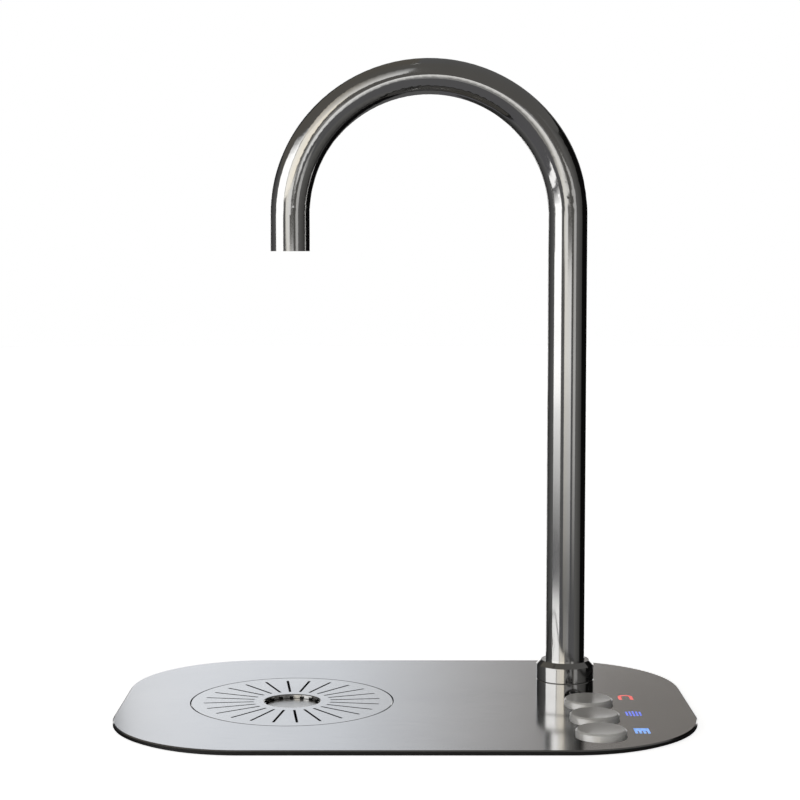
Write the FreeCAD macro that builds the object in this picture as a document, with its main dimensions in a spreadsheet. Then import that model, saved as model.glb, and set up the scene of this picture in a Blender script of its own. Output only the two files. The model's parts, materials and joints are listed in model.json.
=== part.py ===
"""Deck-mounted water dispenser: a drip plate with a gooseneck tap, three push buttons and a drain.

Millimetres. The origin is the centre of the plate, on the worktop's surface. +Z is up, +X runs along
the plate to the right, and -Y faces the user. What hangs through the worktop's cut-out is below Z = 0.
"""

import FreeCAD, Part
import math
import os
import re
import Sketcher

SIZES = {
    # plate, gasket and stiffener
    "plate_length": 400,
    "plate_depth": 268,
    "plate_corner": 92,
    "plate_thick": 3,
    "plate_bevel": 0.8,
    "gasket_thick": 1,
    "gasket_inset": 2.5,
    "gasket_band": 7,
    "stiffener_thick": 3,
    "stiffener_left": 88,
    "stiffener_right": 174,
    "stiffener_front": -122,
    "stiffener_back": 50,
    "stiffener_corner": 8,
    "stiffener_nose": 56,
    # clamps that grip the worktop from below
    "worktop_thick": 30,
    "stud_left_x": -100,
    "stud_right_x": 60,
    "stud_y": 112,
    "stud_radius": 3,
    "stud_length": 48,
    "clamp_width": 20,
    "clamp_length": 46,
    "clamp_thick": 4,
    "clamp_inner": 14,
    "clamp_nut_radius": 6,
    "clamp_nut_height": 6,
    "wing_span": 26,
    "wing_height": 9,
    "wing_thick": 2,
    # grille and strainer
    "grille_x": -80,
    "grille_y": 0,
    "grille_radius": 71.4,
    "grille_gap": 0.7,
    "grille_edge": 0.4,
    "grille_hole": 19.6,
    "grille_lip": 1,
    "slot_count": 24,
    "slot_turn": 6.3,
    "slot_inner": 27,
    "slot_outer": 62.5,
    "slot_width": 1.8,
    "locator_radius": 64.9,
    "locator_wall": 1.6,
    "locator_drop": 2,
    "cap_sink": 2.8,
    "cap_radius": 17.6,
    "cap_thick": 1.2,
    "crown_radius": 19.3,
    "crown_wall": 0.8,
    "crown_sink": 1.2,
    "crown_height": 5.8,
    "tooth_count": 16,
    "tooth_turn": 5,
    "tooth_notch": 1.4,
    "tooth_gap": 5,
    "basket_radius": 16.7,
    "basket_wall": 1.5,
    "basket_count": 8,
    "basket_window": 7,
    "basket_rib": 2,
    # drain bowl and waste
    "seal_thick": 1,
    "seal_inner": 66.5,
    "seal_outer": 87.5,
    "bowl_sheet": 1.5,
    "bowl_mouth": 66,
    "bowl_flange": 88,
    "bowl_foot": 62,
    "bowl_depth": 18,
    "bowl_fall": 6,
    "sump_radius": 25,
    "sump_depth": 2,
    "sump_hole": 20.2,
    "bowl_stud_circle": 81.5,
    "bowl_stud_count": 6,
    "bowl_stud_radius": 2,
    "bowl_stud_length": 10,
    "bowl_nut_radius": 4.04,
    "bowl_nut_height": 3.2,
    "hole_play": 0.2,
    "waste_flange": 24.5,
    "waste_bore": 17,
    "waste_radius": 19.8,
    "waste_body": 26,
    "waste_taper": 6,
    "spigot_radius": 10,
    "spigot_bore": 8,
    "spigot_length": 28,
    "waste_washer_thick": 2,
    "waste_washer_outer": 26,
    "waste_nut_radius": 29,
    "waste_nut_height": 7,
    # column: shank, collars and swivel
    "column_x": 115.3,
    "column_y": 22,
    "spout_yaw": 5,
    "shank_radius": 12,
    "shank_bore": 8.3,
    "shank_length": 44,
    "shank_play": 0.4,
    "shank_flange": 15,
    "shank_flange_height": 8,
    "spigot_top": 46,
    "swivel_radius": 10.95,
    "swivel_play": 0.05,
    "oring_radius": 13.6,
    "oring_section": 0.58,
    "oring_groove": 0.7,
    "collar_radius": 20.5,
    "collar_edge": 0.3,
    "base_collar_height": 11.1,
    "base_collar_bore": 11.2,
    "bearing_thick": 0.5,
    "bearing_radius": 20,
    "swivel_collar_height": 13.8,
    "swivel_collar_bevel": 3.4,
    "friction_height": 27.3,
    "friction_groove": 9.95,
    "friction_section": 1.24,
    "bush_height": 10,
    "lower_bush_foot": 12,
    "upper_bush_foot": 34,
    "stop_height": 17,
    "stop_radius": 2.5,
    "stop_outer": 20,
    "stop_shoulder": 11.4,
    "stop_tip": 9.7,
    "stop_tip_radius": 1.5,
    "stop_socket": 1.44,
    "stop_socket_depth": 3,
    "stop_groove_floor": 9.4,
    "stop_groove_width": 3.6,
    "swing_limit": 60,
    "washer_outer": 17,
    "washer_thick": 2,
    "lock_nut_radius": 17.3,
    "lock_nut_height": 10,
    # gooseneck and what it carries
    "tube_radius": 14,
    "tube_wall": 1.5,
    "neck_radius": 98,
    "neck_height": 343,
    "neck_flat_outer": 2.5,
    "neck_flat_inner": 0,
    "spout_drop": 25,
    "nozzle_recess": 0.8,
    "nozzle_height": 9,
    "nozzle_groove": 11.2,
    "nozzle_groove_height": 1.4,
    "nozzle_oring_section": 0.62,
    "water_tube_radius": 3.175,
    "water_tube_bore": 2.15,
    "water_tube_circle": 4.6,
    "tube_end_recess": 1,
    "hot_tail": 50,
    "chilled_tail": 38,
    "sparkling_tail": 26,
    "mark_height": 18,
    "mark_width": 1,
    "mark_depth": 0.3,
    # buttons
    "button_x": 128.8,
    "hot_y": -13.5,
    "chilled_y": -56.25,
    "sparkling_y": -99,
    "button_radius": 16.9,
    "button_play": 0.4,
    "button_height": 5.3,
    "button_bevel": 1.1,
    "dish_radius": 15,
    "dish_depth": 0.5,
    "roof_underside": 2.4,
    "skirt_inner": 13.9,
    "lip_radius": 17.9,
    "lip_thick": 1.5,
    "lip_drop": 0.3,
    "lip_play": 0.5,
    "press_travel": 2,
    "stem_radius": 4,
    "stem_foot": 17,
    "stem_play": 0.05,
    "magnet_radius": 3.5,
    "magnet_thick": 2,
    "guide_flange": 10,
    "guide_flange_thick": 1.2,
    "guide_radius": 6.5,
    "guide_length": 8.6,
    "seal_radius": 5.6,
    "seal_play": 0.04,
    "spring_radius": 8.2,
    "spring_wire": 0.9,
    "spring_turns": 3.5,
    "spring_end_play": 0.1,
    # lit symbols
    "icon_x": 157.5,
    "hot_icon_y": 9,
    "chilled_icon_y": -37.75,
    "sparkling_icon_y": -84.5,
    "lens_width": 13,
    "lens_depth": 17,
    "lens_play": 0.2,
    "post_radius": 3,
    "post_forward": 5,
    "post_play": 0.2,
    "post_foot": 17.5,
    "arch_outer": 5.2,
    "arch_inner": 2.8,
    "arch_leg": 5.6,
    "stroke_width": 1.3,
    "stroke_pitch": 2.3,
    "stroke_length": 14,
    "stroke_step": 1.5,
    "comb_width": 10,
    "comb_depth": 13.6,
    "comb_back": 7,
    "comb_slit": 1,
    # control housing
    "housing_left": 104,
    "housing_right": 170,
    "housing_front": -121,
    "housing_back": 10.5,
    "housing_corner": 8,
    "housing_nose": 50,
    "housing_shoulder": 37,
    "housing_height": 28,
    "housing_wall": 2.5,
    "housing_roof": 3.5,
    "button_well": 1.4,
    "housing_bosses_left": 110,
    "housing_bosses_right": 161,
    "housing_boss_inset": 5.5,
    "boss_radius": 4,
    "long_screw_radius": 1.5,
    "screw_head_radius": 2.8,
    "screw_head_height": 2,
    "board_bosses_left": 120,
    "board_bosses_right": 146,
    "board_boss_radius": 3,
    "board_screw_radius": 1.25,
    "board_screw_length": 7,
    "board_inset": 5,
    "board_thick": 1.6,
    "board_top": -20,
    "board_notch": 0.6,
    "sensor_side": 4,
    "sensor_height": 1.8,
    "lamp_side": 3.2,
    "lamp_height": 1.9,
    "cover_seal_thick": 1,
    "cover_thick": 2.5,
    "socket_x": 137,
    "socket_y": -56.25,
    "socket_width": 22,
    "socket_depth": 12,
    "socket_height": 16,
    "socket_wall": 1.4,
    "socket_cavity": 10,
    "socket_play": 0.5,
    "pin_side": 1,
    "pin_pitch": 3.2,
    "pin_length": 5,
}

PLATE_TOP = "(gasket_thick + plate_thick)"
PLATE_UNDERSIDE = "gasket_thick"
STIFFENER_UNDERSIDE = "(gasket_thick - stiffener_thick)"
GRILLE_AXIS = ("grille_x", "grille_y")
COLUMN_AXIS = ("column_x", "column_y")
SPOUT_TURN = "180 + spout_yaw"
TUBE_FOOT = "(base_collar_height + bearing_thick)"
NECK_STATIONS = 12
BUTTONS = ("hot", "chilled", "sparkling")
HOUSING_BOSSES = (
    ("housing_bosses_left", "(hot_y + chilled_y) / 2"),
    ("housing_bosses_left", "housing_front + housing_boss_inset"),
    ("housing_bosses_right", "(hot_icon_y + chilled_icon_y) / 2"),
    ("housing_bosses_right", "(chilled_icon_y + sparkling_icon_y) / 2"),
)
BOARD_BOSSES = [
    (x, f"({near} + {far}) / 2")
    for x in ("board_bosses_left", "board_bosses_right")
    for near, far in (("hot_y", "chilled_y"), ("chilled_y", "sparkling_y"))
]
CLAMP_STUDS = [(x, y) for x in ("stud_left_x", "stud_right_x") for y in ("stud_y", "-stud_y")]

doc = FreeCAD.newDocument("water_dispenser")
sheet = doc.addObject("Spreadsheet::Sheet", "Sizes")
nodes = []


# ---- the sheet and what is bound to it ----


def fill_sheet():
    """The driving dimensions, one row each: its name, its number and its alias."""
    for row, (name, number) in enumerate(SIZES.items(), start=1):
        sheet.set(f"A{row}", name)
        sheet.set(f"B{row}", str(number))
        sheet.setAlias(f"B{row}", name)
    doc.recompute()


def formula(text):
    """The text with each of the sheet's names written as the expression engine reads it."""
    return re.sub(r"[a-z][a-z_]*", lambda word: f"Sizes.{word[0]}" if word[0] in SIZES else word[0],
                  str(text))


def value(text):
    """The number that a formula comes to."""
    return float(sheet.evalExpression(formula(text)))


def bind(item, setting, text):
    item.setExpression(setting, formula(text))


def place(item, x=0, y=0, z=0, turn=None):
    """Puts an object at a point, turned about Z, all bound to the sheet."""
    if turn is not None:
        item.Placement = FreeCAD.Placement(
            FreeCAD.Vector(0, 0, 0), FreeCAD.Rotation(FreeCAD.Vector(0, 0, 1), value(turn))
        )
        bind(item, "Placement.Rotation.Angle", turn)
    for axis, text in zip("xyz", (x, y, z)):
        bind(item, f"Placement.Base.{axis}", text)


def keep(item, name):
    """Names an object as a sub-part, to be written out."""
    item.Label = name
    nodes.append(item)
    return item


# ---- sketches ----


def new_body(name, x=0, y=0, z=0, turn=None):
    body = doc.addObject("PartDesign::Body", name)
    place(body, x, y, z, turn)
    return keep(body, name)


def new_sketch(body, name, role="XY_Plane", lift=None):
    """A sketch on one of the body's own origin planes, lifted along its normal if asked."""
    sketch = body.newObject("Sketcher::SketchObject", f"{body.Name}_{name}")
    plane = next(item for item in body.Origin.OriginFeatures if item.Role == role)
    sketch.AttachmentSupport = [(plane, "")]
    sketch.MapMode = "FlatFace"
    if lift is not None:
        bind(sketch, "AttachmentOffset.Base.z", lift)
    return sketch


def turn_sketch(sketch, turn):
    """Turns a sketch about its own normal."""
    lift = sketch.AttachmentOffset.Base
    rotation = FreeCAD.Rotation(FreeCAD.Vector(0, 0, 1), value(turn))
    sketch.AttachmentOffset = FreeCAD.Placement(lift, rotation)
    bind(sketch, "AttachmentOffset.Rotation.Angle", turn)


def hold(sketch, geometry, point, x=None, y=None):
    """Fixes a point of the sketch's geometry by its distances from the sketch's origin."""
    for kind, text in (("DistanceX", x), ("DistanceY", y)):
        if text is None:
            continue
        number = sketch.addConstraint(Sketcher.Constraint(kind, -1, 1, geometry, point, value(text)))
        bind(sketch, f"Constraints[{number}]", text)


def hold_radius(sketch, geometry, radius):
    number = sketch.addConstraint(Sketcher.Constraint("Radius", geometry, value(radius)))
    bind(sketch, f"Constraints[{number}]", radius)


def draw_lines(sketch, points):
    """A closed outline of straight lines through the points."""
    first = sketch.GeometryCount
    corners = [FreeCAD.Vector(value(x), value(y), 0) for x, y in points]
    for start, end in zip(corners, corners[1:] + corners[:1]):
        sketch.addGeometry(Part.LineSegment(start, end))
    for side, (x, y) in enumerate(points):
        following = first + (side + 1) % len(points)
        sketch.addConstraint(Sketcher.Constraint("Coincident", first + side, 2, following, 1))
        hold(sketch, first + side, 1, x, y)


def draw_box(sketch, x, y, width, depth):
    """A rectangle of straight lines about a centre."""
    left, right = f"{x} - {width} / 2", f"{x} + {width} / 2"
    front, back = f"{y} - {depth} / 2", f"{y} + {depth} / 2"
    draw_lines(sketch, [(left, front), (right, front), (right, back), (left, back)])


def draw_circle(sketch, radius, x=0, y=0):
    centre = FreeCAD.Vector(value(x), value(y), 0)
    number = sketch.addGeometry(Part.Circle(centre, FreeCAD.Vector(0, 0, 1), value(radius)))
    hold(sketch, number, 3, x, y)
    hold_radius(sketch, number, radius)


def draw_arc(sketch, x, y, radius, start, end):
    """An arc about a held centre, from one angle to another in degrees, anticlockwise."""
    circle = Part.Circle(FreeCAD.Vector(value(x), value(y), 0), FreeCAD.Vector(0, 0, 1), value(radius))
    number = sketch.addGeometry(Part.ArcOfCircle(circle, math.radians(start), math.radians(end)))
    hold(sketch, number, 3, x, y)
    return number


def draw_rounded(sketch, left, front, right, back, radii):
    """A rectangle with a rounded corner at front left, front right, back right and back left."""
    centres = (
        (f"{left} + ({radii[0]})", f"{front} + ({radii[0]})"),
        (f"{right} - ({radii[1]})", f"{front} + ({radii[1]})"),
        (f"{right} - ({radii[2]})", f"{back} - ({radii[2]})"),
        (f"{left} + ({radii[3]})", f"{back} - ({radii[3]})"),
    )
    arcs = []
    for corner, ((x, y), radius) in enumerate(zip(centres, radii)):
        arc = draw_arc(sketch, x, y, radius, 180 + 90 * corner, 270 + 90 * corner)
        hold_radius(sketch, arc, radius)
        arcs.append(arc)
    shape = [sketch.Geometry[arc] for arc in arcs]
    for corner, arc in enumerate(arcs):
        after = (corner + 1) % 4
        line = sketch.addGeometry(Part.LineSegment(shape[corner].EndPoint, shape[after].StartPoint))
        sketch.addConstraint(Sketcher.Constraint("Tangent", arc, 2, line, 1))
        sketch.addConstraint(Sketcher.Constraint("Tangent", line, 2, arcs[after], 1))


def draw_slot(sketch, inner, outer, half_width, turn):
    """A round-ended slot along a radius of the sketch, turned from its X axis."""
    first, last = f"({inner} + {half_width})", f"({outer} - {half_width})"
    angle = value(turn)
    tip = (f"{last} * cos({turn})", f"{last} * sin({turn})")
    root = (f"{first} * cos({turn})", f"{first} * sin({turn})")
    ends = [
        draw_arc(sketch, *tip, half_width, angle - 90, angle + 90),
        draw_arc(sketch, *root, half_width, angle + 90, angle + 270),
    ]
    shape = [sketch.Geometry[end] for end in ends]
    hold_radius(sketch, ends[0], half_width)
    for here, there in ((0, 1), (1, 0)):
        line = sketch.addGeometry(Part.LineSegment(shape[here].EndPoint, shape[there].StartPoint))
        sketch.addConstraint(Sketcher.Constraint("Tangent", ends[here], 2, line, 1))
        sketch.addConstraint(Sketcher.Constraint("Tangent", line, 2, ends[there], 1))


# ---- features ----


def pad(body, sketch, length):
    feature = body.newObject("PartDesign::Pad", f"{sketch.Name}_pad")
    feature.Profile = sketch
    bind(feature, "Length", length)
    doc.recompute()
    return feature


def cut_away(feature, before):
    """Stops the build if a cut has taken nothing away."""
    doc.recompute()
    if feature.Shape.Volume >= before - 1e-6:
        raise RuntimeError(f"{feature.Name} cuts nothing")
    return feature


def pocket(body, sketch, length=None, along_normal=False):
    """Cuts the sketch's outline against its normal or along it, or both ways right through."""
    before = body.Shape.Volume
    feature = body.newObject("PartDesign::Pocket", f"{sketch.Name}_cut")
    feature.Profile = sketch
    if length is None:
        feature.Type = "ThroughAll"
        feature.Midplane = True
    else:
        bind(feature, "Length", length)
        feature.Reversed = along_normal
    return cut_away(feature, before)


def revolve(body, sketch, axis="V_Axis"):
    feature = body.newObject("PartDesign::Revolution", f"{sketch.Name}_turn")
    feature.Profile = sketch
    feature.ReferenceAxis = (sketch, [axis])
    feature.Angle = 360
    doc.recompute()
    return feature


def groove(body, sketch, angle="360"):
    """Cuts a turned groove, centred on the sketch's plane."""
    before = body.Shape.Volume
    feature = body.newObject("PartDesign::Groove", f"{sketch.Name}_groove")
    feature.Profile = sketch
    feature.ReferenceAxis = (sketch, ["V_Axis"])
    feature.Midplane = True
    bind(feature, "Angle", angle)
    return cut_away(feature, before)


def pattern_round(body, sketch, feature, count):
    """Repeats a feature round the axis that stands on the sketch's origin."""
    pattern = body.newObject("PartDesign::PolarPattern", f"{feature.Name}_round")
    pattern.Originals = [feature]
    pattern.Axis = (sketch, ["N_Axis"])
    pattern.Angle = 360
    bind(pattern, "Occurrences", count)
    body.Tip = pattern
    doc.recompute()


def level_edges(feature, height, radius=None):
    """The names of the level edges at a height, and of one radius if asked."""
    names = []
    for number, edge in enumerate(feature.Shape.Edges, start=1):
        box = edge.BoundBox
        level = abs(box.ZMin - height) < 1e-4 and abs(box.ZMax - height) < 1e-4
        if level and radius is not None:
            level = hasattr(edge.Curve, "Radius") and abs(edge.Curve.Radius - radius) < 1e-4
        if level:
            names.append(f"Edge{number}")
    return names


def soften(body, kind, feature, edges, size):
    """A chamfer or a fillet along edges of a feature."""
    before = body.Shape.Volume
    dressing = body.newObject(f"PartDesign::{kind}", f"{feature.Name}_{kind.lower()}")
    dressing.Base = (feature, edges)
    bind(dressing, "Size" if kind == "Chamfer" else "Radius", size)
    return cut_away(dressing, before)


def turned_body(name, outline, x=0, y=0, z=0, turn=None):
    """A body turned about its own Z axis, from an outline of radius and height."""
    body = new_body(name, x, y, z, turn)
    sketch = new_sketch(body, "outline", "XZ_Plane")
    draw_lines(sketch, outline)
    revolve(body, sketch)
    return body


def ring_outline(inner, outer, low, high):
    return [(inner, low), (outer, low), (outer, high), (inner, high)]


# ---- primitives, for fasteners and other plain pieces ----


def cylinder(name, radius, height, x=0, y=0, z=0):
    item = doc.addObject("Part::Cylinder", name)
    bind(item, "Radius", radius)
    bind(item, "Height", height)
    place(item, x, y, z)
    return item


def hexagon(name, radius, height, x=0, y=0, z=0):
    item = doc.addObject("Part::Prism", name)
    item.Polygon = 6
    bind(item, "Circumradius", radius)
    bind(item, "Height", height)
    place(item, x, y, z)
    return item


def box(name, width, depth, height, x=0, y=0, z=0):
    """A box centred on x and y, standing on z."""
    item = doc.addObject("Part::Box", name)
    bind(item, "Length", width)
    bind(item, "Width", depth)
    bind(item, "Height", height)
    place(item, f"{x} - ({width}) / 2", f"{y} - ({depth}) / 2", z)
    return item


def torus(name, radius, section, x=0, y=0, z=0):
    item = doc.addObject("Part::Torus", name)
    bind(item, "Radius1", radius)
    bind(item, "Radius2", section)
    place(item, x, y, z)
    return item


def fused(name, items):
    item = doc.addObject("Part::MultiFuse", name)
    item.Shapes = items
    return item


def less(name, base, tool):
    item = doc.addObject("Part::Cut", name)
    item.Base = base
    item.Tool = tool
    return item


def group(name, items):
    """Identical pieces as separate solids of one sub-part."""
    item = doc.addObject("Part::Compound", name)
    item.Links = items
    return keep(item, name)


def nut(name, radius, bore, height, x, y, z):
    blank = hexagon(f"{name}_blank", radius, height, x, y, z)
    hole = cylinder(f"{name}_hole", bore, height, x, y, z)
    return less(name, blank, hole)


# ---- plate, gasket and clamps ----


def draw_plate_outline(sketch, inset):
    """The plate's own rounded outline, drawn in by an inset."""
    half_length = f"(plate_length / 2 - ({inset}))"
    half_depth = f"(plate_depth / 2 - ({inset}))"
    corner = f"plate_corner - ({inset})"
    draw_rounded(sketch, f"-{half_length}", f"-{half_depth}", half_length, half_depth, [corner] * 4)


def draw_hot_symbol(sketch, x, y):
    """An arch with two straight legs."""
    crown = f"({y}) + arch_leg / 2"
    foot = f"({y}) - arch_leg"
    outer = draw_arc(sketch, x, crown, "arch_outer", 0, 180)
    inner = draw_arc(sketch, x, crown, "arch_inner", 0, 180)
    hold_radius(sketch, outer, "arch_outer")
    hold_radius(sketch, inner, "arch_inner")
    bends = [sketch.Geometry[outer], sketch.Geometry[inner]]
    right = [FreeCAD.Vector(bend.StartPoint.x, value(foot), 0) for bend in bends]
    left = [FreeCAD.Vector(bend.EndPoint.x, value(foot), 0) for bend in bends]
    runs = [
        (right[0], bends[0].StartPoint),
        (bends[0].EndPoint, left[0]),
        (left[0], left[1]),
        (left[1], bends[1].EndPoint),
        (bends[1].StartPoint, right[1]),
        (right[1], right[0]),
    ]
    first = sketch.GeometryCount
    for start, end in runs:
        sketch.addGeometry(Part.LineSegment(start, end))
    leg_right, leg_left, toe_left, rise_left, drop_right, toe_right = range(first, first + 6)
    sketch.addConstraint(Sketcher.Constraint("Tangent", leg_right, 2, outer, 1))
    sketch.addConstraint(Sketcher.Constraint("Tangent", outer, 2, leg_left, 1))
    sketch.addConstraint(Sketcher.Constraint("Tangent", rise_left, 2, inner, 2))
    sketch.addConstraint(Sketcher.Constraint("Tangent", inner, 1, drop_right, 1))
    joined = ((leg_left, toe_left), (toe_left, rise_left), (drop_right, toe_right), (toe_right, leg_right))
    for before, after in joined:
        sketch.addConstraint(Sketcher.Constraint("Coincident", before, 2, after, 1))
    for line in (leg_right, leg_left, rise_left, drop_right):
        sketch.addConstraint(Sketcher.Constraint("Vertical", line))
    for line in (toe_left, toe_right):
        hold(sketch, line, 1, y=foot)
        sketch.addConstraint(Sketcher.Constraint("Horizontal", line))


def draw_chilled_symbol(sketch, x, y):
    """Five upright strokes, longest in the middle."""
    for place_in_row in (-2, -1, 0, 1, 2):
        length = f"(stroke_length - {abs(place_in_row)} * stroke_step)"
        draw_box(sketch, f"({x}) + {place_in_row} * stroke_pitch", f"({y})", "stroke_width", length)


def draw_sparkling_symbol(sketch, x, y):
    """A square comb: a solid back with four broad teeth towards the user."""
    left, back, front = f"({x}) - comb_width / 2", f"({y}) + comb_depth / 2", f"({y}) - comb_depth / 2"
    tooth = "(comb_width - 3 * comb_slit) / 4"
    points = [(left, back), (left, front)]
    for slit in range(1, 4):
        near = f"{left} + {slit} * {tooth} + {slit - 1} * comb_slit"
        far = f"{near} + comb_slit"
        root = f"{back} - comb_back"
        points += [(near, front), (near, root), (far, root), (far, front)]
    points += [(f"{left} + comb_width", front), (f"{left} + comb_width", back)]
    draw_lines(sketch, points)


DRAW_SYMBOL = {"hot": draw_hot_symbol, "chilled": draw_chilled_symbol, "sparkling": draw_sparkling_symbol}


def make_base_plate():
    body = new_body("base_plate", z=PLATE_UNDERSIDE)
    outline = new_sketch(body, "outline")
    draw_plate_outline(outline, "0")
    plate = pad(body, outline, "plate_thick")
    soften(body, "Chamfer", plate, level_edges(plate, value("plate_thick")), "plate_bevel")
    holes = new_sketch(body, "holes")
    draw_circle(holes, "grille_radius + grille_gap", *GRILLE_AXIS)
    draw_circle(holes, "shank_radius + shank_play", *COLUMN_AXIS)
    for kind in BUTTONS:
        draw_circle(holes, "button_radius + button_play", "button_x", f"{kind}_y")
    pocket(body, holes)
    for kind in BUTTONS:
        symbol = new_sketch(body, f"{kind}_symbol")
        DRAW_SYMBOL[kind](symbol, "icon_x", f"{kind}_icon_y")
        pocket(body, symbol)


def make_gasket():
    body = new_body("plate_gasket")
    sketch = new_sketch(body, "band")
    draw_plate_outline(sketch, "gasket_inset")
    draw_plate_outline(sketch, "gasket_inset + gasket_band")
    pad(body, sketch, "gasket_thick")


def make_stiffener():
    body = new_body("stiffener_plate", z=STIFFENER_UNDERSIDE)
    outline = new_sketch(body, "outline")
    radii = ["stiffener_corner", "stiffener_nose", "stiffener_corner", "stiffener_corner"]
    edges = ("stiffener_left", "stiffener_front", "stiffener_right", "stiffener_back")
    draw_rounded(outline, *edges, radii)
    pad(body, outline, "stiffener_thick")
    holes = new_sketch(body, "holes")
    draw_circle(holes, "shank_radius + shank_play", *COLUMN_AXIS)
    for kind in BUTTONS:
        draw_circle(holes, "lip_radius + lip_play", "button_x", f"{kind}_y")
        width, depth = "(lens_width + 2 * lens_play)", "(lens_depth + 2 * lens_play)"
        draw_box(holes, "icon_x", f"{kind}_icon_y", width, depth)
    for x, y in HOUSING_BOSSES:
        draw_circle(holes, "long_screw_radius", x, y)
    pocket(body, holes)


def make_clamps():
    """Weld studs under the plate, with a bar and a wing nut on each that grip the worktop."""
    studs, bars, nuts = [], [], []
    bar_top = "-worktop_thick"
    nut_top = f"({bar_top} - clamp_thick)"
    for number, (x, y) in enumerate(CLAMP_STUDS):
        side = 1 if value(y) > 0 else -1
        foot = f"{PLATE_UNDERSIDE} - stud_length"
        studs.append(cylinder(f"weld_stud_{number}", "stud_radius", "stud_length", x, y, foot))
        middle = f"({y}) + {side} * (clamp_length / 2 - clamp_inner)"
        size = ("clamp_width", "clamp_length", "clamp_thick")
        bar = box(f"clamp_bar_blank_{number}", *size, x, middle, f"{bar_top} - clamp_thick")
        hole_size = ("stud_radius + hole_play", "clamp_thick")
        hole = cylinder(f"clamp_bar_hole_{number}", *hole_size, x, y, f"{bar_top} - clamp_thick")
        bars.append(less(f"clamp_bar_{number}", bar, hole))
        hub_foot = f"{nut_top} - clamp_nut_height"
        wing_foot = f"{nut_top} - wing_height"
        hub = cylinder(f"clamp_hub_{number}", "clamp_nut_radius", "clamp_nut_height", x, y, hub_foot)
        wings = box(f"clamp_wings_{number}", "wing_span", "wing_thick", "wing_height", x, y, wing_foot)
        thread = cylinder(f"clamp_thread_{number}", "stud_radius", "wing_height", x, y, wing_foot)
        nuts.append(less(f"clamp_nut_{number}", fused(f"clamp_nut_blank_{number}", [hub, wings]), thread))
    group("weld_studs", studs)
    group("clamp_bars", bars)
    group("clamp_nuts", nuts)


# ---- grille, strainer, bowl and waste ----


def make_grille():
    body = new_body("drip_grille", *GRILLE_AXIS, PLATE_UNDERSIDE)
    outline = new_sketch(body, "outline")
    draw_circle(outline, "grille_radius")
    draw_circle(outline, "grille_hole")
    disc = pad(body, outline, "plate_thick")
    top = value("plate_thick")
    lip = soften(body, "Fillet", disc, level_edges(disc, top, value("grille_hole")), "grille_lip")
    soften(body, "Chamfer", lip, level_edges(lip, top, value("grille_radius")), "grille_edge")
    locator = new_sketch(body, "locator", lift="-locator_drop")
    draw_circle(locator, "locator_radius")
    draw_circle(locator, "locator_radius - locator_wall")
    pad(body, locator, "locator_drop")
    slot = new_sketch(body, "slot")
    draw_slot(slot, "slot_inner", "slot_outer", "slot_width / 2", "slot_turn")
    cut = pocket(body, slot)
    pattern_round(body, slot, cut, "slot_count")


def make_strainer():
    """A sunk cap over a windowed basket, with a toothed crown standing round the cap."""
    body = new_body("drain_strainer", *GRILLE_AXIS, PLATE_TOP)
    waste_seat = "(-plate_thick - gasket_thick - bowl_depth - bowl_fall)"
    foot = f"({waste_seat} - 10)"
    shelf = "crown_radius - 0.1"
    inside = "basket_radius - basket_wall"
    cap_low = "(-cap_sink - cap_thick)"
    outline = new_sketch(body, "outline", "XZ_Plane")
    draw_lines(
        outline,
        [
            ("0", "-cap_sink"),
            ("0", cap_low),
            (inside, cap_low),
            (inside, foot),
            ("basket_radius", foot),
            ("basket_radius", waste_seat),
            (shelf, waste_seat),
            (shelf, f"{waste_seat} + basket_wall"),
            ("basket_radius", f"{waste_seat} + basket_wall"),
            ("basket_radius", cap_low),
            ("cap_radius", cap_low),
            ("cap_radius", "-cap_sink"),
        ],
    )
    revolve(body, outline)
    crown_low = "(-crown_sink - crown_height)"
    rib = new_sketch(body, "rib", lift=crown_low)
    rib_x = "(basket_radius + crown_radius - crown_wall) / 2"
    draw_box(rib, rib_x, "0", "(crown_radius - basket_radius)", "basket_rib")
    rib_pad = pad(body, rib, f"{cap_low} - {crown_low}")
    pattern_round(body, rib, rib_pad, "basket_count")
    crown = new_sketch(body, "crown", lift=crown_low)
    draw_circle(crown, "crown_radius")
    draw_circle(crown, "crown_radius - crown_wall")
    pad(body, crown, "crown_height")
    notch = new_sketch(body, "notch", lift="-crown_sink")
    turn_sketch(notch, "tooth_turn + 180 / tooth_count")
    draw_box(notch, "crown_radius", "0", "4 * crown_wall", "tooth_gap")
    notch_cut = pocket(body, notch, "tooth_notch")
    pattern_round(body, notch, notch_cut, "tooth_count")
    window = new_sketch(body, "window", lift=f"{waste_seat} + 2 * basket_wall")
    draw_box(window, "basket_radius", "0", "4 * basket_wall", "basket_window")
    height = f"{crown_low} - {waste_seat} - 3 * basket_wall"
    window_cut = pocket(body, window, height, along_normal=True)
    pattern_round(body, window, window_cut, "basket_count")


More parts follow.
